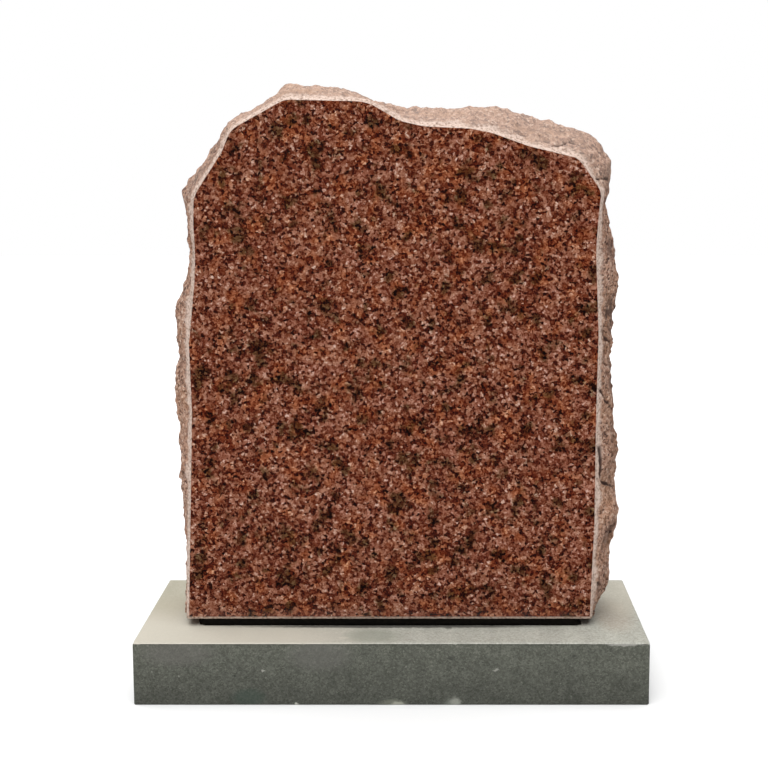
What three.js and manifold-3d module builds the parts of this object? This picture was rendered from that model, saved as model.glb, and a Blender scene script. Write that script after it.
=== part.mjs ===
// A grave marker: an upright headstone of red granite with a polished face and broken edges,
// bedded on a thin black setting strip on a sawn plinth of grey granite.
// Millimetres, +Z up, +X to the right of someone who reads the face, and the face looks along -Y.
// The origin is the middle of the plinth's underside.

import * as THREE from "three";
import { mergeVertices } from "three/addons/utils/BufferGeometryUtils.js";
import Module from "manifold-3d";

// Plinth
const plinthWidth = 800;
const plinthDepth = 300;
const plinthHeight = 100;
const plinthArris = 1.5;
const chipAlong = 7; // what is lost of the right front corner, along the front,
const chipBack = 9; // along the side
const chipDown = 5; // and down the edge

// Setting strip
const stripHeight = 12;
const stripSetBack = 2; // behind the face and in front of the back
const stripEndGap = 15; // from each end of the foot

// Headstone
const faceWidth = 640; // polished face at its foot
const faceHeight = 820; // polished face at its highest
const stoneThickness = 156;
const frontLedge = 72; // plinth in front of the face
const stoneShift = -5; // the stone stands this far off the plinth's middle
const footArrisBack = 2; // small bevel under the face
const footArrisUp = 4;

// Outline of the polished face from the left end of its foot, over the top, to the right end.
// Across is measured from the middle of the foot as a share of the face's width, and up from the
// foot as a share of its height.
const faceOutline = [
  [-0.5, 0], [-0.481, 0.407], [-0.485, 0.54], [-0.468, 0.66], [-0.465, 0.712],
  [-0.468, 0.77], [-0.466, 0.817], [-0.458, 0.83], [-0.396, 0.904], [-0.38, 0.935],
  [-0.366, 0.948], [-0.253, 0.997], [-0.241, 1], [-0.065, 0.997], [-0.039, 0.992],
  [0.029, 0.961], [0.086, 0.951], [0.195, 0.947], [0.245, 0.94], [0.339, 0.914],
  [0.452, 0.893], [0.468, 0.88], [0.505, 0.839], [0.512, 0.827], [0.506, 0.777],
  [0.502, 0.718], [0.511, 0.558], [0.508, 0.4], [0.508, 0.175], [0.505, 0.129], [0.5, 0],
];
const cornerSoftness = 7; // half the length over which a corner of the outline is rounded
const normalSpan = 16; // and over which its outward direction is taken
const levelWithin = 60; // near the foot that direction turns level

// How far the broken edge stands out past the face, as pairs: the place, as a share of the
// outline's length, and the reach there, as a share of the furthest reach.
const furthestReach = 44;
const breakReach = [
  [0, 0.34], [0.045, 0.34], [0.1, 0.52], [0.12, 0.52], [0.145, 0.62], [0.165, 0.78],
  [0.175, 0.9], [0.184, 0.88], [0.2, 0.64], [0.22, 0.67], [0.232, 0.84], [0.26, 0.42],
  [0.288, 0.32], [0.31, 0.52], [0.322, 0.69], [0.342, 0.5], [0.362, 0.56], [0.375, 0.4],
  [0.4, 0.32], [0.418, 0.39], [0.427, 0.6], [0.435, 0.53], [0.458, 0.52], [0.464, 0.49],
  [0.472, 0.36], [0.486, 0.13], [0.5, 0.41], [0.525, 0.64], [0.556, 0.7], [0.586, 1],
  [0.662, 0.98], [0.673, 0.49], [0.684, 0.3], [0.705, 0.68], [0.716, 0.78], [0.73, 0.84],
  [0.748, 0.88], [0.77, 0.7], [0.793, 0.67], [0.812, 0.58], [0.833, 0.69], [0.855, 0.79],
  [0.872, 0.93], [0.895, 0.9], [0.905, 0.98], [0.93, 1], [0.94, 0.89], [0.955, 0.8],
  [0.976, 0.76], [0.985, 0.55], [1, 0.25],
];

// Broken surface across the thickness
const marginOut = 5; // pale pitched margin beside the face: how far it goes out
const marginDepth = 7; // and back
const marginShare = 0.7; // the margin takes at most this share of the reach
const crestDepth = 58; // the broken edge stands out furthest this far behind the face
const crestWander = 14;
const crestWanderLength = 310;
const backShare = 0.4; // of the reach that is left where the sawn back starts
const riseHardness = 1.9; // how steeply the break leaves the margin
const fallHardness = 1.4; // and how it draws in again behind the crest

// Scoops left by the pitching chisel, large ones with smaller ones inside them
const scoopLength = 74; // along the edge
const scoopWidth = 46; // across it
const scoopDepth = 9;
const chipLength = 31;
const chipWidth = 21;
const chipDepth = 3.2;
const scoops = [
  [scoopLength, scoopWidth, scoopDepth, 1],
  [chipLength, chipWidth, chipDepth, 2],
];
const scoopSpread = 0.8; // how freely a scoop's middle lies in its cell, as a share of the cell
const scoopHollow = 1.5;
const scoopTilt = 1.1;
const scoopLift = 0.6;
const scoopMean = 0.55;
const scoopFade = 20; // distance over which the scoops die out at the margins
const scoopFullReach = 25; // where the edge reaches less than this, the scoops are shallower

// Mesh fineness
const alongStep = 12;
const acrossSteps = 13;

const clamp = (v) => Math.min(1, Math.max(0, v));
const mix = (a, b, share) => a + (b - a) * share;
const ease = (from, to, v) => {
  const t = clamp((v - from) / (to - from));
  return t * t * (3 - 2 * t);
};
const scatter = (i, j, seed) => {
  const v = Math.sin(i * 127.1 + j * 311.7 + seed * 74.7) * 43758.5453;
  return v - Math.floor(v);
};

// Points of the outline in millimetres, with the distance run to each.
function outlineRuns() {
  const points = faceOutline.map(
    ([across, up]) => new THREE.Vector2(across * faceWidth, up * faceHeight),
  );
  const runs = [0];
  for (let i = 1; i < points.length; i++) {
    runs.push(runs[i - 1] + points[i].distanceTo(points[i - 1]));
  }
  return { points, runs, length: runs[runs.length - 1] };
}

const outline = outlineRuns();

// The point at a distance along the straight-sided outline, carried on past both ends.
function cornerPoint(run) {
  const { points, runs } = outline;
  let i = 1;
  while (i < points.length - 1 && runs[i] < run) i++;
  const share = (run - runs[i - 1]) / (runs[i] - runs[i - 1]);
  return points[i - 1].clone().lerp(points[i], share);
}

// The same with soft corners: the mean of the points within cornerSoftness.
function outlinePoint(run) {
  const samples = 8;
  const sum = new THREE.Vector2();
  for (let k = 0; k < samples; k++) {
    const offset = ((2 * k + 1) / samples - 1) * cornerSoftness;
    sum.add(cornerPoint(run + offset));
  }
  return sum.divideScalar(samples);
}

// Outward direction in the plane of the face, level at both ends so that the foot stays flat.
function outward(run) {
  const along = outlinePoint(run + normalSpan).sub(outlinePoint(run - normalSpan)).normalize();
  const toEnd = Math.min(run, outline.length - run);
  const side = run < outline.length / 2 ? -1 : 1;
  const free = ease(0, levelWithin, toEnd);
  return new THREE.Vector2(mix(side, -along.y, free), mix(0, along.x, free)).normalize();
}

function reachAt(run) {
  const share = clamp(run / outline.length);
  let i = 1;
  while (i < breakReach.length - 1 && breakReach[i][0] < share) i++;
  const [from, low] = breakReach[i - 1];
  const [to, high] = breakReach[i];
  return furthestReach * mix(low, high, (share - from) / (to - from));
}

// Height of one layer of scoops: the lowest of the tilted bowls round the point, so that the
// bowls meet in sharp ridges. About 0 on average.
function scoopLayer(run, depth, [length, width, amount, seed]) {
  const u = run / length;
  const v = depth / width;
  let low = Infinity;
  for (let i = Math.floor(u) - 1; i <= Math.floor(u) + 1; i++) {
    for (let j = Math.floor(v) - 1; j <= Math.floor(v) + 1; j++) {
      const du = u - i - 0.5 - scoopSpread * (scatter(i, j, seed) - 0.5);
      const dv = v - j - 0.5 - scoopSpread * (scatter(i, j, seed + 10) - 0.5);
      const tiltU = scoopTilt * (scatter(i, j, seed + 20) - 0.5);
      const tiltV = scoopTilt * (scatter(i, j, seed + 30) - 0.5);
      const lift = scoopLift * scatter(i, j, seed + 40);
      low = Math.min(low, lift + scoopHollow * (du * du + dv * dv) + tiltU * du + tiltV * dv);
    }
  }
  return amount * (low - scoopMean);
}

// How far the surface stands outside the face's outline at a depth behind the face.
function breakOut(run, depth) {
  const reach = reachAt(run);
  const margin = Math.min(marginOut, marginShare * reach);
  if (depth <= marginDepth) return (margin * depth) / marginDepth;
  const crest = crestDepth + crestWander * Math.sin((run / crestWanderLength) * 2 * Math.PI);
  const rise = clamp((depth - marginDepth) / (crest - marginDepth));
  const fall = clamp((depth - crest) / (stoneThickness - crest));
  const front = mix(margin, reach, 1 - (1 - rise) ** riseHardness);
  const body = front - (1 - backShare) * reach * fall ** fallHardness;
  const fade =
    ease(marginDepth, marginDepth + scoopFade, depth) *
    ease(stoneThickness, stoneThickness - scoopFade, depth);
  const rough = scoops.reduce((sum, layer) => sum + scoopLayer(run, depth, layer), 0);
  return Math.max(body + fade * rough * clamp(reach / scoopFullReach), 0);
}

// The same at all depths of one place, scaled so that its furthest point stands out by the reach.
function breakColumn(run, depths) {
  const outs = depths.map((depth) => breakOut(run, depth));
  const scale = reachAt(run) / Math.max(...outs);
  const freeDepth = marginDepth + scoopFade;
  return outs.map((out, i) => out * mix(1, scale, ease(marginDepth, freeDepth, depths[i])));
}

// Depths behind the face at which the broken surface is sampled.
function depthRows() {
  const rows = [0, marginDepth];
  for (let i = 1; i <= acrossSteps; i++) {
    rows.push(mix(marginDepth, stoneThickness, i / acrossSteps));
  }
  return rows;
}

// Distances along the outline: the foot, the top of the foot's bevel, then even steps.
function runColumns() {
  const { length } = outline;
  const steps = Math.round((length - 2 * footArrisUp) / alongStep);
  const columns = [0];
  for (let i = 0; i <= steps; i++) {
    columns.push(mix(footArrisUp, length - footArrisUp, i / steps));
  }
  columns.push(length);
  return columns;
}

function headstoneGeometry() {
  const rows = depthRows();
  const columns = runColumns();
  const last = columns.length - 1;
  const positions = [];
  const faces = [];
  const at = (column, row) => column * rows.length + row;

  for (const [column, run] of columns.entries()) {
    const edge = outlinePoint(run);
    const out = outward(run);
    const isFoot = column === 0 || column === last;
    if (isFoot) edge.set(run === 0 ? -faceWidth / 2 : faceWidth / 2, 0);
    for (const [row, reach] of breakColumn(run, rows).entries()) {
      const back = row === 0 && isFoot ? footArrisBack : rows[row];
      positions.push(edge.x + out.x * reach, back, edge.y + out.y * reach);
    }
  }

  // Broken sides and top
  for (let c = 0; c < last; c++) {
    for (let r = 0; r < rows.length - 1; r++) {
      faces.push(at(c, r), at(c + 1, r), at(c + 1, r + 1));
      faces.push(at(c, r), at(c + 1, r + 1), at(c, r + 1));
    }
  }
  // Underside, from one end of the foot to the other
  for (let r = 0; r < rows.length - 1; r++) {
    faces.push(at(0, r), at(0, r + 1), at(last, r + 1));
    faces.push(at(0, r), at(last, r + 1), at(last, r));
  }
  // Bevel under the face
  faces.push(at(0, 0), at(last, 0), at(last - 1, 0));
  faces.push(at(0, 0), at(last - 1, 0), at(1, 0));
  // Polished face and sawn back, each a fan round its middle, so that every point of its edge stays
  const fan = (first, final, row, facesFront) => {
    const middle = positions.length / 3;
    positions.push(0, rows[row], faceHeight / 2);
    for (let c = first; c <= final; c++) {
      const next = c === final ? first : c + 1;
      if (facesFront) faces.push(middle, at(next, row), at(c, row));
      else faces.push(middle, at(c, row), at(next, row));
    }
  };
  fan(1, last - 1, 0, true);
  fan(0, last, rows.length - 1, false);

  const geometry = new THREE.BufferGeometry();
  geometry.setAttribute("position", new THREE.Float32BufferAttribute(positions, 3));
  geometry.setIndex(faces);
  geometry.computeVertexNormals();
  return geometry;
}

// A box with all its edges cut to a small arris.
function arrisBox(width, depth, height, arris) {
  const x = width / 2 - arris;
  const y = depth / 2 - arris;
  const shape = new THREE.Shape([
    new THREE.Vector2(-x, -y),
    new THREE.Vector2(x, -y),
    new THREE.Vector2(x, y),
    new THREE.Vector2(-x, y),
  ]);
  const geometry = new THREE.ExtrudeGeometry(shape, {
    depth: height - 2 * arris,
    bevelThickness: arris,
    bevelSize: arris,
    bevelSegments: 1,
  });
  return geometry.translate(0, 0, arris);
}

const wasm = await Module();
wasm.setup();

function solidOf(geometry) {
  const bare = geometry.clone();
  bare.deleteAttribute("normal");
  bare.deleteAttribute("uv");
  const merged = mergeVertices(bare);
  return new wasm.Manifold(
    new wasm.Mesh({
      numProp: 3,
      vertProperties: merged.attributes.position.array,
      triVerts: new Uint32Array(merged.index.array),
    }),
  );
}

function geometryOf(solid) {
  const { vertProperties, triVerts } = solid.getMesh();
  const geometry = new THREE.BufferGeometry();
  geometry.setAttribute("position", new THREE.BufferAttribute(vertProperties, 3));
  geometry.setIndex(new THREE.BufferAttribute(triVerts, 1));
  geometry.computeVertexNormals();
  return geometry;
}

// A block whose near side cuts the right front top corner off the plinth.
function chipCutter() {
  const size = 40;
  const corner = new THREE.Vector3(plinthWidth / 2, -plinthDepth / 2, plinthHeight);
  const slope = new THREE.Vector3(1 / chipAlong, -1 / chipBack, 1 / chipDown);
  const inset = 1 / slope.length();
  const direction = slope.normalize();
  const turn = new THREE.Quaternion().setFromUnitVectors(new THREE.Vector3(0, 0, 1), direction);
  const centre = corner.addScaledVector(direction, size / 2 - inset);
  return new THREE.BoxGeometry(size, size, size)
    .applyQuaternion(turn)
    .translate(centre.x, centre.y, centre.z);
}

function plinthGeometry() {
  const block = solidOf(arrisBox(plinthWidth, plinthDepth, plinthHeight, plinthArris));
  return geometryOf(block.subtract(solidOf(chipCutter())));
}

function stripGeometry() {
  return new THREE.BoxGeometry(
    faceWidth - 2 * stripEndGap,
    stoneThickness - 2 * stripSetBack,
    stripHeight,
  );
}

const redGranite = new THREE.MeshStandardMaterial({
  color: 0x7a4638,
  roughness: 0.35,
  metalness: 0,
});
const blackMastic = new THREE.MeshStandardMaterial({
  color: 0x0c0b0a,
  roughness: 0.8,
  metalness: 0,
});
const greyGranite = new THREE.MeshStandardMaterial({
  color: 0x7d7c74,
  roughness: 0.6,
  metalness: 0,
});

function namedMesh(name, geometry, material) {
  const mesh = new THREE.Mesh(geometry, material);
  mesh.name = name;
  return mesh;
}

const faceY = frontLedge - plinthDepth / 2;

const plinth = namedMesh("plinth", plinthGeometry(), greyGranite);

const settingStrip = namedMesh("setting_strip", stripGeometry(), blackMastic);
settingStrip.position.set(
  stoneShift,
  faceY + stoneThickness / 2,
  plinthHeight + stripHeight / 2,
);

const headstone = namedMesh("headstone", headstoneGeometry(), redGranite);
headstone.position.set(stoneShift, faceY, plinthHeight + stripHeight);

const graveMarker = new THREE.Group();
graveMarker.add(plinth, settingStrip, headstone);

export default graveMarker;
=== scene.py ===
"""Looks of the grave marker: a red granite headstone with a polished face and pitched, broken
edges, bedded on black mastic on a sawn plinth of grey granite. The shapes are worked out in
millimetres and made in metres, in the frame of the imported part."""

import bpy
import numpy as np
from mathutils import Euler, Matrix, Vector


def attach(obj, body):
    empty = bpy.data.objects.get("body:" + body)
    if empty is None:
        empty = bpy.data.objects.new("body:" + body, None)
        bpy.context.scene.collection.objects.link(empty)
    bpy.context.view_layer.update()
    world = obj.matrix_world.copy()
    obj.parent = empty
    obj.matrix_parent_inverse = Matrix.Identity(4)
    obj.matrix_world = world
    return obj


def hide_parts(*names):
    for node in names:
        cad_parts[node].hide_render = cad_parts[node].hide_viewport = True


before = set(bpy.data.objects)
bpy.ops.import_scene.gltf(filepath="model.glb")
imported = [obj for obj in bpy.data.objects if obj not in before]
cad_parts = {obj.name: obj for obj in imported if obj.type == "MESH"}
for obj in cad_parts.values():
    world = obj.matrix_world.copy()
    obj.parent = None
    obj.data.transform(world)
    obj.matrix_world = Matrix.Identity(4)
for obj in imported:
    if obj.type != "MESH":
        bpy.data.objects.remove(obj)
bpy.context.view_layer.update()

MM = 0.001

# Plinth, as in the part, but for the least cut of its corners, which keeps their quads open
PLINTH_WIDTH = 800
PLINTH_DEPTH = 300
PLINTH_HEIGHT = 100
ARRIS = 1.5
LEAST_CUT = 0.15
CHIP_ALONG = 7
CHIP_BACK = 9
CHIP_DOWN = 5

# Nicks of the plinth's top arris: how far from the edge they reach, their depth, and how far the
# noise has to rise before one starts
NICK_REACH = 6
NICK_DEPTH = 2.6
NICK_RARITY = 0.9

# Setting strip, as in the part
STRIP_HEIGHT = 12
STRIP_SET_BACK = 2
STRIP_END_GAP = 15

# The strip's corner radius, how much slimmer it is than the part's before it bulges, how far it
# bulges, how far its right end leans, and how far before the end the lean starts and is full
STRIP_CORNER = 5
STRIP_SLIMMER = 1.5
STRIP_BULGE = 1.2
STRIP_LEAN = 4.5
LEAN_START = 25
LEAN_FULL = 5

# Headstone, as in the part
FACE_WIDTH = 640
FACE_HEIGHT = 820
STONE_THICKNESS = 156
FACE_Y = -78
STONE_SHIFT = -5
STONE_FOOT = PLINTH_HEIGHT + STRIP_HEIGHT
FOOT_ARRIS_BACK = 2
FOOT_ARRIS_UP = 4

# Outline of the polished face, as shares of its width and height, from the left end of the foot
FACE_OUTLINE = np.array([
    (-0.5, 0), (-0.481, 0.407), (-0.485, 0.54), (-0.468, 0.66), (-0.465, 0.712),
    (-0.468, 0.77), (-0.466, 0.817), (-0.458, 0.83), (-0.396, 0.904), (-0.38, 0.935),
    (-0.366, 0.948), (-0.253, 0.997), (-0.241, 1), (-0.065, 0.997), (-0.039, 0.992),
    (0.029, 0.961), (0.086, 0.951), (0.195, 0.947), (0.245, 0.94), (0.339, 0.914),
    (0.452, 0.893), (0.468, 0.88), (0.505, 0.839), (0.512, 0.827), (0.506, 0.777),
    (0.502, 0.718), (0.511, 0.558), (0.508, 0.4), (0.508, 0.175), (0.505, 0.129), (0.5, 0),
])
CORNER_SOFTNESS = 7
NORMAL_SPAN = 16
LEVEL_WITHIN = 60

# How far the broken edge stands out: place as a share of the outline, share of the furthest reach
FURTHEST_REACH = 44
BREAK_REACH = np.array([
    (0, 0.34), (0.045, 0.34), (0.1, 0.52), (0.12, 0.52), (0.145, 0.62), (0.165, 0.78),
    (0.175, 0.9), (0.184, 0.88), (0.2, 0.64), (0.22, 0.67), (0.232, 0.84), (0.26, 0.42),
    (0.288, 0.32), (0.31, 0.52), (0.322, 0.69), (0.342, 0.5), (0.362, 0.56), (0.375, 0.4),
    (0.4, 0.32), (0.418, 0.39), (0.427, 0.6), (0.435, 0.53), (0.458, 0.52), (0.464, 0.49),
    (0.472, 0.36), (0.486, 0.13), (0.5, 0.41), (0.525, 0.64), (0.556, 0.7), (0.586, 1),
    (0.662, 0.98), (0.673, 0.49), (0.684, 0.3), (0.705, 0.68), (0.716, 0.78), (0.73, 0.84),
    (0.748, 0.88), (0.77, 0.7), (0.793, 0.67), (0.812, 0.58), (0.833, 0.69), (0.855, 0.79),
    (0.872, 0.93), (0.895, 0.9), (0.905, 0.98), (0.93, 1), (0.94, 0.89), (0.955, 0.8),
    (0.976, 0.76), (0.985, 0.55), (1, 0.25),
])
MARGIN_OUT = 5
MARGIN_DEPTH = 7
MARGIN_SHARE = 0.7
CREST_DEPTH = 58
CREST_WANDER = 14
CREST_WANDER_LENGTH = 310
BACK_SHARE = 0.4
RISE_HARDNESS = 1.9
FALL_HARDNESS = 1.4
SCOOP_SPREAD = 0.8
SCOOP_HOLLOW = 1.5
SCOOP_TILT = 1.1
SCOOP_LIFT = 0.6
SCOOP_MEAN = 0.55
SCOOP_FADE = 20
SCOOP_FULL_REACH = 25

# Length, width, depth and seed of each size of scoop: the part's two, then the finer ones that
# only this mesh is close enough to hold
COARSE_SCOOPS = [(74, 46, 9, 1), (31, 21, 3.2, 2)]
FINE_SCOOPS = [(17, 13, 3, 3), (6.5, 5.5, 1.1, 4)]

# Stepped breaks between the scoops: their spacing and height, where in a step its groove starts
# and how deep it gets, and the noise's values between which a patch of them comes up
LEDGE_SPACING = 31
LEDGE_HEIGHT = 4.5
GROOVE_START = 0.8
GROOVE_DEPTH = 0.8
PATCH_START = -0.1
PATCH_FULL = 0.5

# How far the fine relief takes to die out behind the face, past the margin and before the back,
# the share of it that the margin keeps, and how far the margin's paleness takes to end
FRONT_FADE = 4
MARGIN_FADE = 6
BACK_FADE = 6
MARGIN_RELIEF = 0.25
MARGIN_BLUR = 5.5

# Noises, each a list of waves: length along the run, length across it, amount, seed
LEDGE_DRIFT = [(130, 90, 1.6, 51), (16, 16, 0.12, 52)]
LEDGE_PATCHES = [(75, 32, 1, 53)]
GRIT = [(3.4, 3.4, 0.45, 5), (8, 8, 0.6, 6)]
CRACK_FORCE = [(9, 9, 0.4, 65)]
CRACK_BEND_ALONG = [(5, 5, 1.4, 61), (15, 15, 1.6, 66)]
CRACK_BEND_ACROSS = [(5, 5, 1.4, 62), (15, 15, 1.2, 67)]
SHADE_AND_STAIN_FRAY = [(8, 4, 0.5, 63)]
SHADE_AND_STAIN_MOTTLE = [(9, 6, 0.6, 64), (3.6, 3, 0.5, 68)]
MARGIN_WAVER = [(24, 24, 2, 7), (6, 6, 1.5, 8)]
ARRIS_NICKS = [(5, 5, 1, 21), (17, 17, 0.6, 22)]
STRIP_SWELL = [(19, 19, 0.8, 31), (6, 6, 0.5, 32)]

# Cracks and pits of the broken edge: their mean force and how fast they taper; then for each its
# places as distance run and depth behind the face, and the width and the depth of its groove
MEAN_FORCE = 0.85
CRACK_TAPER = 1.6
CRACKS = [
    ([(1813, 9.5), (1842, 11), (1869, 14.5), (1879, 30), (1890, 56)], 3.2, 6),
    ([(1618, 17), (1640, 26), (1656, 36)], 2.8, 5),
    ([(1722, 11), (1738, 18), (1757, 38)], 2.9, 5.5),
    ([(1244, 14), (1254, 16), (1268, 20)], 1.8, 3),
    ([(1282, 21), (1299, 17)], 2, 3.5),
    ([(1306, 10.5), (1315, 12.5), (1325, 17)], 2.2, 4.5),
    ([(1330, 20), (1345, 22)], 2, 3.5),
    ([(1390, 7.5), (1397, 24), (1402, 40)], 2.4, 5),
    ([(1050, 28), (1063, 29)], 1.8, 3),
    ([(1088, 9), (1096, 9.5)], 1.6, 2.4),
    ([(748, 28), (759, 31)], 3, 4),
    ([(716, 12), (728, 15)], 3, 4),
    ([(698, 9), (703, 9)], 2.2, 3),
    ([(792, 18), (797, 19)], 2, 3),
    ([(1955, 40), (1962, 52)], 3.4, 6),
    ([(2034, 12), (2046, 14)], 2.6, 4),
]

# Stains and painted shade on the broken edge: their mean cover; then for each its run, depth,
# half lengths along each, and strength, dark where above 0, which is dark weathering and painted
# shade in shadowed pits, and rust where below
MEAN_COVER = 0.9
SHADE_AND_STAIN_SPOTS = [
    (1497, 24, 22, 12, 1), (1560, 40, 30, 14, -0.35), (1604, 38, 34, 13, 1.3),
    (1704, 40, 28, 12, 1.1), (1790, 30, 30, 16, 0.35), (1850, 34, 44, 16, 0.5),
    (1925, 16, 24, 9, -0.4), (1958, 44, 22, 12, 0.9), (2010, 30, 34, 12, 0.35),
    (2040, 14, 12, 4, 0.9), (905, 16, 26, 3.5, -1), (930, 24, 30, 3, -0.9),
    (889, 30, 20, 4, -0.6), (1268, 22, 34, 5, -0.7), (1310, 30, 30, 4, -0.6),
    (1170, 33, 40, 4, -0.5), (735, 30, 46, 9, 0.6), (690, 26, 24, 9, 0.6),
    (1020, 30, 30, 6, -0.4), (1120, 26, 40, 5, -0.5), (1359, 12, 10, 3, 0.6),
    (1395, 34, 12, 14, 0.7), (420, 34, 60, 12, 0.35), (560, 30, 40, 10, 0.4),
]

# Marks on the plinth's sides, and marks with painted light, shade and reflection on its top:
# middle and half sizes in metres, colour, strength
SIDE_MARKS = [
    ((-0.33, -0.15, 0.084), (0.07, 0.03, 0.026), "#66635e", 0.5),
    ((-0.11, -0.15, 0.08), (0.06, 0.03, 0.03), "#66645f", 0.5),
    ((-0.222, -0.15, 0.012), (0.032, 0.02, 0.018), "#3b4a40", 0.6),
    ((0.362, -0.15, 0.0975), (0.036, 0.01, 0.003), "#a8a69e", 0.7),
    ((0.162, -0.15, 0.057), (0.006, 0.01, 0.0026), "#a4a39a", 0.7),
    ((0.001, -0.15, 0.002), (0.026, 0.01, 0.009), "#7d7f70", 0.6),
    ((0.01, -0.15, 0.001), (0.013, 0.01, 0.006), "#a9a99b", 0.7),
    ((0.095, -0.15, 0.002), (0.016, 0.01, 0.01), "#80847a", 0.6),
    ((0.099, -0.15, 0.005), (0.009, 0.01, 0.01), "#a3a499", 0.5),
    ((-0.147, -0.15, 0.001), (0.004, 0.01, 0.004), "#c4c4b8", 0.9),
    ((-0.199, -0.15, 0.055), (0.003, 0.01, 0.0025), "#a09f96", 0.8),
    ((-0.243, -0.15, 0.047), (0.003, 0.01, 0.0022), "#2c2d28", 0.8),
    ((0.092, -0.15, 0.075), (0.005, 0.01, 0.0035), "#363731", 0.7),
    ((0.283, -0.15, 0.079), (0.005, 0.01, 0.003), "#363731", 0.7),
    ((0.051, -0.15, 0.056), (0.003, 0.01, 0.0025), "#363731", 0.7),
]
TOP_MARKS_AND_PAINTED_LIGHT = [
    # Painted pool of light over the left of the top
    ((-0.31, -0.14, 0.1), (0.33, 0.23, 0.1), "#bbb5a7", 0.85),
    ((-0.37, 0.08, 0.1), (0.12, 0.14, 0.02), "#a9a28d", 0.6),
    # Painted shade of the stone on the middle of the ledge
    ((-0.03, -0.12, 0.1), (0.055, 0.035, 0.02), "#84887b", 0.6),
    ((0.09, -0.086, 0.1), (0.007, 0.006, 0.02), "#4e4d46", 0.6),
    # Painted shadow along the foot of the mastic strip
    ((0, -0.079, 0.1), (0.31, 0.008, 0.02), "#35332e", 0.85),
    ((-0.075, -0.128, 0.1), (0.012, 0.005, 0.02), "#cdc6b7", 0.3),
    # Painted reflection of the stone, right of its foot
    ((0.358, -0.03, 0.1), (0.04, 0.09, 0.02), "#9b8b7b", 0.4),
    ((0.38, 0.07, 0.1), (0.05, 0.12, 0.02), "#b9b2a2", 0.5),
]

# Fineness of the meshes: steps of the broken edge and of the plinth's sides, rows of its margin
# and of the plinth, columns and rows of the strip
ALONG_STEP = 2.3
ACROSS_STEP = 1.8
MARGIN_ROWS = 3
PLINTH_STEP = 3
PLINTH_SIDE_ROWS = 33
STRIP_COLUMNS = 720
STRIP_ROWS = 7

# Rounds of averaging that find the mean height round a point of the broken edge
HOLLOW_ROUNDS = 12


def clamp(v):
    return np.clip(v, 0, 1)


def mix(a, b, share):
    return a + (b - a) * share


def ease(start, end, v):
    """Smooth step from 0 at start to 1 at end."""
    t = clamp((v - start) / (end - start))
    return t * t * (3 - 2 * t)


def scatter(i, j, seed):
    """A repeatable number between 0 and 1 for each cell of a grid."""
    v = np.sin(i * 127.1 + j * 311.7 + seed * 74.7) * 43758.5453
    return v - np.floor(v)


def wander(u, v, seed):
    """Smooth noise from -1 to 1: scattered values at whole numbers, eased between them."""
    i = np.floor(u)
    j = np.floor(v)
    across = ease(0, 1, u - i)
    up = ease(0, 1, v - j)
    low = mix(scatter(i, j, seed), scatter(i + 1, j, seed), across)
    high = mix(scatter(i, j + 1, seed), scatter(i + 1, j + 1, seed), across)
    return 2 * mix(low, high, up) - 1


def noise(run, depth, waves):
    """The sum of several smooth noises, one for each wave."""
    layers = [
        amount * wander(run / along, depth / across, seed)
        for along, across, amount, seed in waves
    ]
    return sum(layers)


def unit(vectors):
    return vectors / np.linalg.norm(vectors, axis=-1, keepdims=True)


# Outline of the face in millimetres, and the distance run to each of its corners
CORNERS = FACE_OUTLINE * (FACE_WIDTH, FACE_HEIGHT)
RUNS = np.concatenate([[0], np.cumsum(np.linalg.norm(np.diff(CORNERS, axis=0), axis=1))])
OUTLINE_LENGTH = RUNS[-1]


def sharp_outline(run):
    """The point at a distance along the straight-sided outline, carried on past both ends."""
    i = np.clip(np.searchsorted(RUNS, run), 1, len(RUNS) - 1)
    share = (run - RUNS[i - 1]) / (RUNS[i] - RUNS[i - 1])
    return mix(CORNERS[i - 1], CORNERS[i], share[:, None])


def soft_outline(run):
    """The same with soft corners: the mean of the points within the corners' softness."""
    samples = 8
    offsets = ((2 * np.arange(samples) + 1) / samples - 1) * CORNER_SOFTNESS
    return sum(sharp_outline(run + offset) for offset in offsets) / samples


def outward(run):
    """Across the outline, away from the stone, and turned level near the foot."""
    along = unit(soft_outline(run + NORMAL_SPAN) - soft_outline(run - NORMAL_SPAN))
    free = ease(0, LEVEL_WITHIN, np.minimum(run, OUTLINE_LENGTH - run))
    side = np.where(run < OUTLINE_LENGTH / 2, -1, 1)
    return unit(np.stack([mix(side, -along[:, 1], free), along[:, 0] * free], axis=-1))


def scoop_layer(run, depth, length, width, amount, seed):
    """The lowest of the tilted bowls round each point, one bowl scattered in each cell of a
    length x width grid, so that the bowls meet in sharp ridges."""
    u = run / length
    v = depth / width
    low = np.full(np.broadcast(u, v).shape, np.inf)
    for step_u in (-1, 0, 1):
        for step_v in (-1, 0, 1):
            i = np.floor(u) + step_u
            j = np.floor(v) + step_v
            du = u - i - 0.5 - SCOOP_SPREAD * (scatter(i, j, seed) - 0.5)
            dv = v - j - 0.5 - SCOOP_SPREAD * (scatter(i, j, seed + 10) - 0.5)
            tilt_u = SCOOP_TILT * (scatter(i, j, seed + 20) - 0.5)
            tilt_v = SCOOP_TILT * (scatter(i, j, seed + 30) - 0.5)
            lift = SCOOP_LIFT * scatter(i, j, seed + 40)
            bowl = lift + SCOOP_HOLLOW * (du * du + dv * dv) + tilt_u * du + tilt_v * dv
            low = np.minimum(low, bowl)
    return amount * (low - SCOOP_MEAN)


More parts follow.
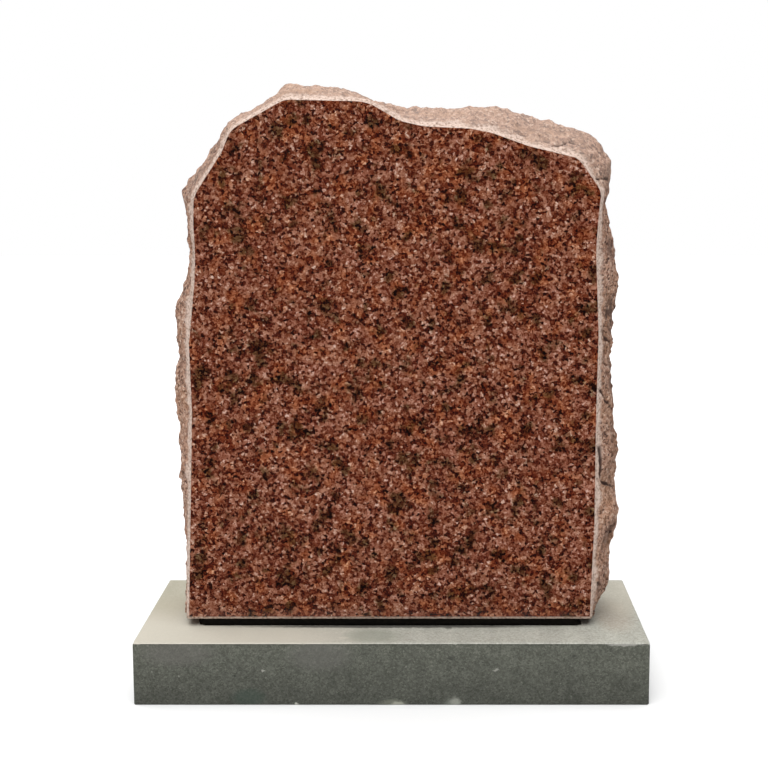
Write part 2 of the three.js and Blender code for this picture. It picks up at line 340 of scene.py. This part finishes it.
def break_out(run, depth):
    """How far the stone stands outside the face's outline at a depth behind the face: a straight
    pitched margin, a hard rise to the crest, a slower fall to the sawn back, and scoops."""
    reach = FURTHEST_REACH * np.interp(run / OUTLINE_LENGTH, *BREAK_REACH.T)
    margin = np.minimum(MARGIN_OUT, MARGIN_SHARE * reach)
    crest = CREST_DEPTH + CREST_WANDER * np.sin(run / CREST_WANDER_LENGTH * 2 * np.pi)
    rise = clamp((depth - MARGIN_DEPTH) / (crest - MARGIN_DEPTH))
    fall = clamp((depth - crest) / (STONE_THICKNESS - crest))
    body = mix(margin, reach, 1 - (1 - rise) ** RISE_HARDNESS)
    body = body - (1 - BACK_SHARE) * reach * fall ** FALL_HARDNESS
    free = ease(MARGIN_DEPTH, MARGIN_DEPTH + SCOOP_FADE, depth)
    fade = free * ease(STONE_THICKNESS, STONE_THICKNESS - SCOOP_FADE, depth)
    rough = sum(scoop_layer(run, depth, *layer) for layer in COARSE_SCOOPS)
    out = np.maximum(body + fade * rough * clamp(reach / SCOOP_FULL_REACH), 0)
    out = out * mix(1, reach / out.max(axis=1, keepdims=True), free)
    return np.where(depth <= MARGIN_DEPTH, margin * depth / MARGIN_DEPTH, out)


def ledges(run, depth):
    """Stepped breaks in patches: across the depth the surface falls slowly, dips into a groove and
    rises again at once, and the steps wander along the run."""
    steps = depth / LEDGE_SPACING + noise(run, depth, LEDGE_DRIFT)
    share = steps - np.floor(steps)
    patch = ease(PATCH_START, PATCH_FULL, noise(run, depth, LEDGE_PATCHES))
    return patch * (LEDGE_HEIGHT * (0.5 - share) - GROOVE_DEPTH * ease(GROOVE_START, 1, share))


def crack_layer(run, depth):
    """Grooves along drawn lines: the depth of each falls off with the square of the distance to
    the line, which the noise bends a little, and comes and goes along it."""
    force = MEAN_FORCE + noise(run, depth, CRACK_FORCE)
    run = run + noise(run, depth, CRACK_BEND_ALONG)
    depth = depth + noise(run, depth, CRACK_BEND_ACROSS)
    groove = np.zeros(np.broadcast(run, depth).shape)
    for line, width, deep in CRACKS:
        for (run_a, depth_a), (run_b, depth_b) in zip(line[:-1], line[1:]):
            along = run_b - run_a
            across = depth_b - depth_a
            share = (run - run_a) * along + (depth - depth_a) * across
            share = clamp(share / (along ** 2 + across ** 2))
            away = (run - run_a - share * along) ** 2 + (depth - depth_a - share * across) ** 2
            groove = np.maximum(groove, deep * np.exp(-away / (width / CRACK_TAPER) ** 2))
    return groove * force


def shade_and_stain_layer(run, depth):
    """Dark stains and painted shade of shadowed pits above 0, and rust below it: the sum of soft
    ovals with frayed edges, broken up into mottles."""
    fray = 1 + noise(run, depth, SHADE_AND_STAIN_FRAY)
    mottle = clamp(MEAN_COVER + noise(run, depth, SHADE_AND_STAIN_MOTTLE))
    shade_and_stain = np.zeros(np.broadcast(run, depth).shape)
    for middle_run, middle_depth, half_run, half_depth, strength in SHADE_AND_STAIN_SPOTS:
        away = ((run - middle_run) / half_run) ** 2 + ((depth - middle_depth) / half_depth) ** 2
        shade_and_stain = shade_and_stain + strength * np.exp(-away * fray)
    return shade_and_stain * mottle


def fine_relief(run, depth):
    """Ledges, crystal-sized scoops and grit, which die out at the face and the back."""
    rough = ledges(run, depth) + sum(scoop_layer(run, depth, *layer) for layer in FINE_SCOOPS)
    rough = rough + noise(run, depth, GRIT)
    front = ease(1, MARGIN_DEPTH + FRONT_FADE, depth)
    back = ease(STONE_THICKNESS, STONE_THICKNESS - BACK_FADE, depth)
    margin = mix(MARGIN_RELIEF, 1, ease(MARGIN_DEPTH, MARGIN_DEPTH + MARGIN_FADE, depth))
    return rough * front * back * margin - crack_layer(run, depth) * back


def new_piece(name, vertices, faces, materials, slots, smooth, attributes):
    """A mesh object at the origin from vertices in millimetres."""
    mesh = bpy.data.meshes.new(name)
    mesh.from_pydata((vertices * MM).tolist(), [], faces)
    for material in materials:
        mesh.materials.append(material)
    mesh.polygons.foreach_set("material_index", slots)
    mesh.polygons.foreach_set("use_smooth", smooth)
    for key, values in attributes.items():
        layer = mesh.attributes.new(key, "FLOAT", "POINT")
        layer.data.foreach_set("value", values.ravel())
    mesh.update()
    piece = bpy.data.objects.new(name, mesh)
    bpy.context.scene.collection.objects.link(piece)
    return piece


def grid_quads(columns, rows, closed=False):
    """Quads between neighbouring columns and rows of a grid whose points run row by row within
    each column."""
    last = columns if closed else columns - 1
    c, r = np.meshgrid(np.arange(last), np.arange(rows - 1), indexing="ij")
    n = (c + 1) % columns
    quads = np.stack([c * rows + r, n * rows + r, n * rows + r + 1, c * rows + r + 1], axis=-1)
    return quads.reshape(-1, 4)


def ring_ends(columns, rows):
    """The face under a ring of columns and the one over it."""
    under = [c * rows for c in range(columns - 1, -1, -1)]
    over = [c * rows + rows - 1 for c in range(columns)]
    return [under, over]


def stone_grid():
    """The distances run and the depths of the grid that the stone's sides are worked out on."""
    steps = round((OUTLINE_LENGTH - 2 * FOOT_ARRIS_UP) / ALONG_STEP)
    even = np.linspace(FOOT_ARRIS_UP, OUTLINE_LENGTH - FOOT_ARRIS_UP, steps + 1)
    run = np.concatenate([[0], even, [OUTLINE_LENGTH]])
    across = round((STONE_THICKNESS - MARGIN_DEPTH) / ACROSS_STEP)
    margin_rows = np.linspace(0, MARGIN_DEPTH, MARGIN_ROWS, endpoint=False)
    depth = np.concatenate([margin_rows, np.linspace(MARGIN_DEPTH, STONE_THICKNESS, across + 1)])
    return run, depth


def stone_points(run, depth, out):
    """point = outline(run) + outward(run) x out, kept above the foot, which is flat and has an
    arris in front."""
    edge = soft_outline(run)
    edge[0] = (-FACE_WIDTH / 2, 0)
    edge[-1] = (FACE_WIDTH / 2, 0)
    plane = edge[:, None, :] + outward(run)[:, None, :] * out[:, :, None]
    plane[[0, -1], :, 1] = 0
    plane[:, :, 1] = np.maximum(plane[:, :, 1], 0)
    back = np.broadcast_to(depth, out.shape).copy()
    back[[0, -1], 0] = FOOT_ARRIS_BACK
    points = np.stack([plane[..., 0], back, plane[..., 1]], axis=-1)
    return points + (STONE_SHIFT, FACE_Y, STONE_FOOT)


def stone_faces(columns, rows):
    """The quads of the sides, then the foot, its arris, the face and the back that close them,
    with the material of each: 0 polished, 1 broken, 2 sawn."""
    last = columns - 1
    sides = grid_quads(columns, rows).tolist()
    end = last * rows
    foot = [(r, r + 1, end + r + 1, end + r) for r in range(rows - 1)]
    arris = (0, end, end - rows, rows)
    face = [c * rows for c in range(last - 1, 0, -1)]
    back = [c * rows + rows - 1 for c in range(columns)]
    faces = sides + foot + [arris, face, back]
    slots = [1] * len(sides) + [2] * len(foot) + [1, 0, 2]
    smooth = [True] * len(sides) + [False] * (len(faces) - len(sides))
    return faces, slots, smooth


def headstone(materials):
    """The stone as a surface of two parameters, the distance run along the face's outline and the
    depth behind the face: point = outline(run) + outward(run) x (break + fine relief)."""
    run, depth = stone_grid()
    u = run[:, None]
    v = depth[None, :]
    out = break_out(u, v) + fine_relief(u, v)
    points = stone_points(run, depth, out)
    faces, slots, smooth = stone_faces(*out.shape)
    attributes = {
        "margin": margin_share(u, v),
        "hollow": hollows(out),
        "crack": crack_layer(u, v),
        "shade_and_stain": shade_and_stain_layer(u, v),
        "upward": np.broadcast_to(clamp(outward(run)[:, 1])[:, None], out.shape),
    }
    return new_piece(
        "headstone_granite", points.reshape(-1, 3), faces, materials, slots, smooth, attributes
    )


def margin_share(run, depth):
    """1 on the pale pitched margin, which is a little uneven in width, and 0 past it."""
    start = MARGIN_DEPTH + noise(run, 0, MARGIN_WAVER)
    return 1 - ease(start, start + MARGIN_BLUR, depth)


def hollows(height):
    """How far each point lies below the mean of its surroundings, in millimetres."""
    mean = height.copy()
    for _ in range(HOLLOW_ROUNDS):
        padded = np.pad(mean, 1, mode="edge")
        mean = (padded[:-2, 1:-1] + padded[2:, 1:-1] + padded[1:-1, :-2] + padded[1:-1, 2:]) / 4
    return mean - height


def plinth(materials):
    """A profile (inset, height) from the underside over the arrises to the top, carried round the
    rectangle of the plinth, whose upright corners have an arris too: point = middle of the side
    + along x share x half length - outward x inset."""
    under = [12, 6, ARRIS]
    over = [0.5, 1, ARRIS, 2.5, 4, 6, 9, 13]
    inset = np.array(under + [0] * PLINTH_SIDE_ROWS + over)
    side_heights = np.linspace(ARRIS, PLINTH_HEIGHT - ARRIS, PLINTH_SIDE_ROWS)
    over_heights = PLINTH_HEIGHT - ARRIS + np.minimum(over, ARRIS)
    height = np.concatenate([[0] * len(under), side_heights, over_heights])
    cut = np.maximum(ARRIS - (2 - np.sqrt(2)) * inset, LEAST_CUT)
    half = np.array([PLINTH_WIDTH / 2, PLINTH_DEPTH / 2])
    sides = []
    for normal in np.array([(0, -1), (1, 0), (0, 1), (-1, 0)]):
        along = np.array([-normal[1], normal[0]])
        length = np.abs(along) @ half
        share = np.linspace(-1, 1, round(2 * length / PLINTH_STEP) + 1)
        reach = (length - inset - cut)[None, :, None] * share[:, None, None]
        sides.append(normal * (np.abs(normal) @ half - inset)[None, :, None] + along * reach)
    plane = np.concatenate(sides)
    columns, rows = plane.shape[:2]
    points = np.concatenate([plane, np.broadcast_to(height, (columns, rows))[..., None]], axis=-1)
    points = corner_chip(worn_edges(points))

    quads = grid_quads(columns, rows, closed=True)
    faces = quads.tolist() + ring_ends(columns, rows)
    last_side_row = len(under) + PLINTH_SIDE_ROWS - 1
    slots = np.where(quads[:, 0] % rows >= last_side_row, 1, 0).tolist()
    slots += [0, 1]
    smooth = [False] * len(faces)
    return new_piece("plinth_granite", points.reshape(-1, 3), faces, materials, slots, smooth, {})


def worn_edges(points):
    """Small nicks along the top arris: the points near it sink into the stone where a noise
    along the edge passes a threshold. The run grows along every side of the plinth."""
    run = points[..., 0] + 1.7 * points[..., 1]
    nick = np.maximum(noise(run, 0, ARRIS_NICKS) - NICK_RARITY, 0)
    x = np.abs(points[..., 0])
    y = np.abs(points[..., 1])
    from_side = np.minimum(PLINTH_WIDTH / 2 - x, PLINTH_DEPTH / 2 - y)
    from_top = PLINTH_HEIGHT - points[..., 2]
    near = clamp(1 - from_side / NICK_REACH) * clamp(1 - from_top / NICK_REACH)
    sink = NICK_DEPTH * nick * near
    inwards = np.stack([
        -np.sign(points[..., 0]) * (PLINTH_WIDTH / 2 - x < NICK_REACH),
        -np.sign(points[..., 1]) * (PLINTH_DEPTH / 2 - y < NICK_REACH),
        -np.ones_like(x),
    ], axis=-1)
    return points + inwards * sink[..., None]


def corner_chip(points):
    """What lies beyond the plane of the break at the right front top corner goes back to it."""
    corner = np.array([PLINTH_WIDTH / 2, -PLINTH_DEPTH / 2, PLINTH_HEIGHT])
    slope = np.array([1 / CHIP_ALONG, -1 / CHIP_BACK, 1 / CHIP_DOWN])
    beyond = np.maximum((points - corner) @ slope + 1, 0)
    return points - beyond[..., None] * slope / (slope @ slope)


def setting_strip(materials):
    """A bulging, slightly uneven profile carried round the strip's rounded rectangle; at the
    right end its foot has crept out and its top has drawn back."""
    share = np.linspace(0, 1, STRIP_ROWS)
    half_width = FACE_WIDTH / 2 - STRIP_END_GAP
    half_depth = STONE_THICKNESS / 2 - STRIP_SET_BACK
    turn = np.linspace(0, 2 * np.pi, STRIP_COLUMNS, endpoint=False)
    direction = np.stack([np.cos(turn), np.sin(turn)], axis=-1)
    inner = np.array([half_width - STRIP_CORNER, half_depth - STRIP_CORNER])
    ray = direction * np.min(inner / np.maximum(np.abs(direction), 1e-9), axis=1)[:, None]
    outwards = unit(np.where(np.abs(ray) >= inner - 1e-6, np.sign(ray), 0))
    run = np.concatenate([[0], np.cumsum(np.linalg.norm(np.diff(ray, axis=0), axis=1))])
    bulge = 1 - (2 * share - 1) ** 2
    swell = STRIP_BULGE + noise(run, 0, STRIP_SWELL)
    out = STRIP_CORNER - STRIP_SLIMMER + swell[:, None] * bulge[None, :]
    plane = ray[:, None, :] + outwards[:, None, :] * out[:, :, None]
    right_end = ease(half_width - LEAN_START, half_width - LEAN_FULL, plane[..., 0])
    plane[..., 0] += STRIP_LEAN * (1 - 2 * share) * right_end
    height = np.broadcast_to(PLINTH_HEIGHT + STRIP_HEIGHT * share, plane.shape[:2])
    points = np.concatenate([plane, height[..., None]], axis=-1)
    points = points + (STONE_SHIFT, FACE_Y + STONE_THICKNESS / 2, 0)
    columns, rows = plane.shape[:2]
    faces = grid_quads(columns, rows, closed=True).tolist() + ring_ends(columns, rows)
    smooth = [True] * (len(faces) - 2) + [False] * 2
    slots = [0] * len(faces)
    return new_piece("setting_mastic", points.reshape(-1, 3), faces, materials, slots, smooth, {})


def linear(hex_colour):
    """An sRGB hex colour as linear red, green, blue and alpha."""
    srgb = np.array([int(hex_colour[i:i + 2], 16) for i in (1, 3, 5)]) / 255
    rgb = np.where(srgb <= 0.04045, srgb / 12.92, ((srgb + 0.055) / 1.055) ** 2.4)
    return (*rgb.tolist(), 1)


def node(tree, kind, inputs={}, stops=(), **settings):
    """Adds a node with its settings, sets or links its inputs, and gives a ramp its stops."""
    made = tree.nodes.new("ShaderNode" + kind)
    for name, value in settings.items():
        setattr(made, name, value)
    for key, value in inputs.items():
        if isinstance(value, bpy.types.NodeSocket):
            tree.links.new(value, made.inputs[key])
        else:
            made.inputs[key].default_value = value
    for i, (place, colour) in enumerate(stops):
        ramp = made.color_ramp.elements
        stop = ramp[i] if i < 2 else ramp.new(place)
        stop.position = place
        stop.color = linear(colour)
    return made


# Settings of a Mix node that lays one colour over another, or multiplies two, its two colour
# sockets and its colour output
OVER = {"data_type": "RGBA"}
TIMES = {"data_type": "RGBA", "blend_type": "MULTIPLY"}
FIRST = 6
SECOND = 7
MIXED = 2

# The mean of a noise's colour, taken off so that it bends a pattern equally both ways
MIDDLE = (0.5, 0.5, 0.5)


def scale_for(size):
    """The texture scale that makes the marks of a pattern about this many millimetres long."""
    return 1 / (size * MM)


def new_material(name):
    """An empty material with its node tree and the object coordinates that all patterns read."""
    material = bpy.data.materials.new(name)
    material.use_nodes = True
    tree = material.node_tree
    tree.nodes.clear()
    place = node(tree, "TexCoord").outputs["Object"]
    return material, tree, place


def finish_material(tree, inputs):
    """The surface shader with its inputs, joined to the material's output."""
    shader = node(tree, "BsdfPrincipled", inputs)
    node(tree, "OutputMaterial", {"Surface": shader.outputs[0]})


def covered(tree, colour, value, start, end, share, cover):
    """The colour under another one, which covers it more and more as a value goes from start to
    end, up to the share."""
    amount = node(tree, "MapRange", {
        "Value": value, "From Min": start, "From Max": end, "To Min": 0.0, "To Max": share,
    })
    both = node(tree, "Mix", {"Factor": amount.outputs[0], FIRST: colour, SECOND: cover}, **OVER)
    return both.outputs[MIXED]


def shaded(tree, colour, value, start, end, low, high):
    """The colour times a factor that goes from low to high as a value goes from start to end."""
    factor = node(tree, "MapRange", {
        "Value": value, "From Min": start, "From Max": end, "To Min": low, "To Max": high,
    })
    both = node(tree, "Mix", {"Factor": 1.0, FIRST: colour, SECOND: factor.outputs[0]}, **TIMES)
    return both.outputs[MIXED]


def crystals(tree, place, size, palette, clot_share):
    """Interlocking mineral grains: one random value for each Voronoi cell, pulled towards the
    dark end in clots, picks the mineral's colour from the palette. The size is that of a large
    crystal in millimetres. Grains half as large lend a third of the value, clots are five times
    as wide, and a finer noise bends the cells' straight borders."""
    bend = node(tree, "TexNoise", {
        "Vector": place, "Scale": scale_for(1.11 * size), "Detail": 2.0,
    })
    bent = node(tree, "VectorMath", {0: bend.outputs["Color"], 1: MIDDLE}, operation="SUBTRACT")
    furthest = (1.4 * size * MM,) * 3
    bent = node(tree, "VectorMath", {
        0: bent.outputs[0], 1: furthest, 2: place,
    }, operation="MULTIPLY_ADD")
    cells = node(tree, "TexVoronoi", {"Vector": bent.outputs[0], "Scale": scale_for(size)})
    value = node(tree, "SeparateColor", {0: cells.outputs["Color"]})
    small = node(tree, "TexVoronoi", {"Vector": bent.outputs[0], "Scale": scale_for(0.526 * size)})
    small_value = node(tree, "SeparateColor", {0: small.outputs["Color"]})
    both = node(tree, "Mix", {"Factor": 0.36, "A": value.outputs[0], "B": small_value.outputs[0]})
    clots = node(tree, "TexNoise", {"Vector": place, "Scale": scale_for(5 * size), "Detail": 3.0})
    pull = node(tree, "MapRange", {
        "Value": clots.outputs[0],
        "From Min": 0.35, "From Max": 0.7, "To Min": 0.4 * clot_share, "To Max": -clot_share,
    })
    total = node(tree, "Math", {0: both.outputs[0], 1: pull.outputs[0]}, operation="ADD")
    ramp = node(tree, "ValToRGB", {0: total.outputs[0]}, stops=palette)
    return ramp.outputs[0], total.outputs[0], clots.outputs[0]


def polished_red_granite():
    """Red granite, sawn and machine polished: a flat mirror-like face in which every crystal shows
    in its full colour, brick red and salmon feldspar in pink and orange zones, smoky quartz and
    clots of black mica."""
    material, tree, place = new_material("polished_red_granite")
    palette = [
        (0.1, "#1c0602"), (0.26, "#401207"), (0.38, "#5a2412"), (0.5, "#703c28"),
        (0.6, "#82513c"), (0.72, "#93634e"), (0.84, "#a57862"), (0.97, "#cfb3a3"),
    ]
    # The larger feldspar crystals are 4 to 5 mm long, the small grains between them 2 mm
    colour, value, clots = crystals(tree, place, 4.4, palette, 0.06)
    dark_zones = [(0.54, "#ffffff"), (0.66, "#a3aa90")]
    mica = node(tree, "ValToRGB", {0: clots}, stops=dark_zones)
    smoky = node(tree, "Mix", {"Factor": 1.0, FIRST: colour, SECOND: mica.outputs[0]}, **TIMES)
    zones = node(tree, "TexNoise", {"Vector": place, "Scale": scale_for(28), "Detail": 3.0})
    pink_to_orange = [(0.36, "#fbf1f3"), (0.5, "#ffffff"), (0.63, "#ffe0c0")]
    tint = node(tree, "ValToRGB", {0: zones.outputs[0]}, stops=pink_to_orange)
    tinted = node(tree, "Mix", {
        "Factor": 1.0, FIRST: smoky.outputs[MIXED], SECOND: tint.outputs[0],
    }, **TIMES)
    gloss = node(tree, "MapRange", {
        "Value": value, "From Min": 0.2, "From Max": 0.5, "To Min": 0.22, "To Max": 0.12,
    })
    finish_material(tree, {
        "Base Color": tinted.outputs[MIXED], "Roughness": gloss.outputs[0],
        "IOR": 1.54, "Specular IOR Level": 0.35,
    })
    return material


def rusted(tree, place, colour, shade_and_stain):
    """Iron from the mica has tinted the break in wide soft clouds and where a stain is below 0."""
    wide = node(tree, "TexNoise", {"Vector": place, "Scale": scale_for(62), "Detail": 4.0})
    clouds = node(tree, "MapRange", {
        "Value": wide.outputs[0],
        "From Min": 0.5, "From Max": 0.8, "To Min": 0.0, "To Max": 0.4,
    })
    streaks = node(tree, "MapRange", {
        "Value": shade_and_stain, "From Min": 0.0, "From Max": -1.0, "To Min": 0.0, "To Max": 0.8,
    })
    rust = node(tree, "Math", {0: clouds.outputs[0], 1: streaks.outputs[0]}, operation="MAXIMUM")
    tinted = node(tree, "Mix", {
        "Factor": rust.outputs[0], FIRST: colour, SECOND: linear("#b07f56"),
    }, **OVER)
    return tinted.outputs[MIXED]


def broken_red_granite():
    """The same granite broken off with a pitching chisel: crushed crystals scatter the light, so
    it is matt and much paler, palest on the narrow margin beside the face, painted paler where
    it looks up as if lit from overhead, with dark stains partly painted as shade, and painted
    shade in its cracks and hollows."""
    material, tree, place = new_material("broken_red_granite")
    palette = [
        (0.12, "#3d211a"), (0.27, "#74503f"), (0.4, "#a0765f"), (0.55, "#ae866f"),
        (0.7, "#bc947e"), (0.85, "#d3b8a6"),
    ]
    # A broken crystal shows only a part of itself, so the grain looks a little finer
    colour, value, _ = crystals(tree, place, 3.6, palette, 0.09)
    own = {
        name: node(tree, "Attribute", attribute_name=name).outputs["Fac"]
        for name in ("shade_and_stain", "hollow", "upward", "margin", "crack")
    }
    colour = rusted(tree, place, colour, own["shade_and_stain"])
    # Dark where the value is above 0: dark weathering, and painted shade where the break lies in
    # shadowed pits
    colour = covered(tree, colour, own["shade_and_stain"], 0.0, 1.0, 0.85, linear("#4b3127"))
    # Painted shade: darker where a point lies below the mean of its surroundings
    colour = covered(tree, colour, own["hollow"], 0.4, 2.6, 0.7, linear("#573a2b"))
    # Painted light: paler where the surface faces up, as if lit from overhead
    colour = covered(tree, colour, own["upward"], 0.0, 1.0, 0.45, linear("#b9a497"))
    speck = node(tree, "TexNoise", {"Vector": place, "Scale": scale_for(3.8), "Detail": 2.0})
    bruised = [(0.32, "#927869"), (0.48, "#cab1a2"), (0.66, "#dcc6b9")]
    crushed = node(tree, "ValToRGB", {0: speck.outputs[0]}, stops=bruised)
    colour = covered(tree, colour, own["margin"], 0.0, 1.0, 1.0, crushed.outputs[0])
    # Painted shade: near black along the crack grooves, darkest where they are deepest
    colour = covered(tree, colour, own["crack"], 1.0, 3.5, 0.9, linear("#351a12"))
    grit = node(tree, "Bump", {"Height": value, "Distance": 0.0018, "Strength": 1.0})
    finish_material(tree, {"Base Color": colour, "Roughness": 0.85, "Normal": grit.outputs[0]})
    return material


def sawn_red_granite():
    """The same granite as the diamond saw left it on the back and the foot: flat and matt, with
    its crystals veiled by scratches, and faint level saw marks."""
    material, tree, place = new_material("sawn_red_granite")
    palette = [
        (0.0, "#43352e"), (0.28, "#5a4239"), (0.42, "#80594b"), (0.55, "#946b5b"),
        (0.7, "#a27c6c"), (0.85, "#b89a8c"),
    ]
    colour, _, _ = crystals(tree, place, 4.2, palette, 0.14)
    # Saw marks are 1 to 2 mm apart, too fine to show, so they are drawn 3.8 mm apart
    drawn_out = (scale_for(500), scale_for(500), scale_for(3.8))
    stretched = node(tree, "Mapping", {"Vector": place, "Scale": drawn_out})
    marks = node(tree, "TexNoise", {"Vector": stretched.outputs[0], "Scale": 1.0, "Detail": 2.0})
    ridges = node(tree, "Bump", {"Height": marks.outputs[0], "Distance": 0.0006, "Strength": 0.6})
    finish_material(tree, {"Base Color": colour, "Roughness": 0.7, "Normal": ridges.outputs[0]})
    return material


def with_marks(tree, place, colour, marks):
    """The colour with a soft oval of another colour for each mark, their edges frayed by a
    noise."""
    fray = node(tree, "TexNoise", {"Vector": place, "Scale": scale_for(6.7), "Detail": 3.0})
    bend = node(tree, "VectorMath", {0: fray.outputs["Color"], 1: MIDDLE}, operation="SUBTRACT")
    furthest = (8 * MM,) * 3
    frayed = node(tree, "VectorMath", {
        0: bend.outputs[0], 1: furthest, 2: place,
    }, operation="MULTIPLY_ADD")
    for middle, half, mark_colour, strength in marks:
        scale = 1 / np.array(half)
        oval = node(tree, "Mapping", {
            "Vector": frayed.outputs[0], "Location": -scale * middle, "Scale": scale,
        })
        inside = node(tree, "TexGradient", {"Vector": oval.outputs[0]}, gradient_type="SPHERICAL")
        paint = linear(mark_colour)
        colour = covered(tree, colour, inside.outputs["Fac"], 0.0, 0.5, strength, paint)
    return colour


def sawn_grey_granite():
    """Fine grey granite, diamond sawn: dark and slightly green at the sides, with soft clouds, a
    few pale and dark crystals, painted shade that darkens it towards the ground, a thin darker
    band just under the arris, and the scrapes and stains of handling."""
    material, tree, place = new_material("sawn_grey_granite")
    palette = [(0.1, "#41433a"), (0.4, "#505248"), (0.6, "#56584f"), (0.9, "#68695f")]
    # The crystals are about 1 mm long, too fine to show, so they are drawn at 2.4 mm
    colour, value, _ = crystals(tree, place, 2.4, palette, 0.06)
    cloud = node(tree, "TexNoise", {
        "Vector": place, "Scale": scale_for(38), "Detail": 5.0, "Roughness": 0.6,
    })
    colour = shaded(tree, colour, cloud.outputs[0], 0.3, 0.7, 0.86, 1.14)
    # Painted shade, darker towards the ground, then a thin darker band just under the arris;
    # heights in metres
    height = node(tree, "SeparateXYZ", {0: place}).outputs["Z"]
    colour = shaded(tree, colour, height, 0.0, 0.1, 0.78, 1.22)
    colour = shaded(tree, colour, height, 0.094, 0.0975, 1.0, 0.8)
    fleck = node(tree, "TexNoise", {"Vector": place, "Scale": scale_for(8.3), "Detail": 1.0})
    colour = covered(tree, colour, fleck.outputs[0], 0.72, 0.8, 0.5, linear("#96968c"))
    colour = with_marks(tree, place, colour, SIDE_MARKS)
    grit = node(tree, "Bump", {"Height": value, "Distance": 0.0003, "Strength": 0.5})
    finish_material(tree, {"Base Color": colour, "Roughness": 0.65, "Normal": grit.outputs[0]})
    return material


def grey_granite_top_painted_lighter():
    """The plinth's top, ground smooth: the same granite painted much paler for the overhead light
    that falls on it, with faint streaks from the grinding head, a painted pool of light on the
    left of the ledge, painted shade and shadow near the stone, and a painted reflection of it."""
    material, tree, place = new_material("grey_granite_top_painted_lighter")
    # Painted light: these colours are the sides' granite made much paler, as lit from overhead
    palette = [(0.1, "#908f84"), (0.4, "#9d9c92"), (0.6, "#a6a59b"), (0.9, "#b3b2a8")]
    # The crystals are drawn at 2.4 mm here too, because 1 mm is too fine to show
    colour, value, _ = crystals(tree, place, 2.4, palette, 0.06)
    # Single scratches are finer than a millimetre, so the bands that they add up to are drawn
    streaks = (scale_for(33), scale_for(140), scale_for(1000))
    drawn = node(tree, "Mapping", {"Vector": place, "Scale": streaks})
    cloud = node(tree, "TexNoise", {"Vector": drawn.outputs[0], "Scale": 1.0, "Detail": 5.0})
    colour = shaded(tree, colour, cloud.outputs[0], 0.3, 0.7, 0.9, 1.08)
    colour = with_marks(tree, place, colour, TOP_MARKS_AND_PAINTED_LIGHT)
    grit = node(tree, "Bump", {"Height": value, "Distance": 0.0003, "Strength": 0.5})
    finish_material(tree, {"Base Color": colour, "Roughness": 0.6, "Normal": grit.outputs[0]})
    return material


def black_mastic():
    """Butyl mastic squeezed out under the stone's weight: dull black, slightly creased."""
    material, tree, place = new_material("black_mastic_bed")
    crease = node(tree, "TexNoise", {"Vector": place, "Scale": scale_for(5.5), "Detail": 3.0})
    black = [(0.3, "#040302"), (0.75, "#120f0a")]
    colour = node(tree, "ValToRGB", {0: crease.outputs[0]}, stops=black)
    fold = node(tree, "Bump", {"Height": crease.outputs[0], "Distance": 0.001, "Strength": 0.6})
    finish_material(tree, {
        "Base Color": colour.outputs[0], "Roughness": 0.9, "Specular IOR Level": 0.1,
        "Normal": fold.outputs[0],
    })
    return material


def camera():
    """Camera at the photograph's place, found from the plinth's corners."""
    data = bpy.data.cameras.new("camera")
    data.sensor_width = 36
    data.lens = 62.5
    data.shift_x = -0.06
    data.shift_y = -0.10
    made = bpy.data.objects.new("camera", data)
    made.location = (0.060, -2.130, 0.868)
    made.rotation_euler = Euler((np.radians(82.94), 0, 0))
    bpy.context.scene.collection.objects.link(made)
    bpy.context.scene.camera = made


def soft_light(name, toward, spread, strength):
    """Even light from one side, as soft as a wide softbox that spans the given angle."""
    data = bpy.data.lights.new(name, "SUN")
    data.angle = np.radians(spread)
    data.energy = strength
    made = bpy.data.objects.new(name, data)
    made.rotation_euler = Vector(toward).to_track_quat("Z", "Y").to_euler()
    bpy.context.scene.collection.objects.link(made)


def studio():
    """Pale floor, a white surround that the stone itself hardly reflects, and soft lights from
    overhead and from the front left."""
    half = 8
    corners = [(-half, -half, 0), (half, -half, 0), (half, half, 0), (-half, half, 0)]
    mesh = bpy.data.meshes.new("studio_floor")
    mesh.from_pydata(corners, [], [(0, 1, 2, 3)])
    material, tree, _ = new_material("studio_floor_paint")
    finish_material(tree, {
        "Base Color": linear("#e1e1e1"), "Roughness": 1.0, "Specular IOR Level": 0.0,
    })
    mesh.materials.append(material)
    floor = bpy.data.objects.new("studio_floor", mesh)
    floor.visible_glossy = False
    bpy.context.scene.collection.objects.link(floor)

    world = bpy.data.worlds.new("studio")
    world.use_nodes = True
    tree = world.node_tree
    tree.nodes.clear()
    seen = node(tree, "LightPath").outputs["Is Camera Ray"]
    white = node(tree, "Background", {"Color": linear("#ffffff"), "Strength": 1.0})
    dim = node(tree, "Background", {"Color": linear("#ffffff"), "Strength": 0.05})
    both = node(tree, "MixShader", {0: seen, 1: dim.outputs[0], 2: white.outputs[0]})
    node(tree, "OutputWorld", {"Surface": both.outputs[0]})
    bpy.context.scene.world = world

    soft_light("light_overhead", (-0.05, -0.08, 1), 80, 4.9)
    soft_light("light_front_left", (-0.20, -0.80, 0.50), 40, 0.72)
    bpy.context.scene.view_settings.view_transform = "Standard"


camera()
studio()

stone = headstone([polished_red_granite(), broken_red_granite(), sawn_red_granite()])
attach(stone, "root")
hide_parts("headstone")

base = plinth([sawn_grey_granite(), grey_granite_top_painted_lighter()])
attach(base, "root")
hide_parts("plinth")

bed = setting_strip([black_mastic()])
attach(bed, "root")
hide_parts("setting_strip")
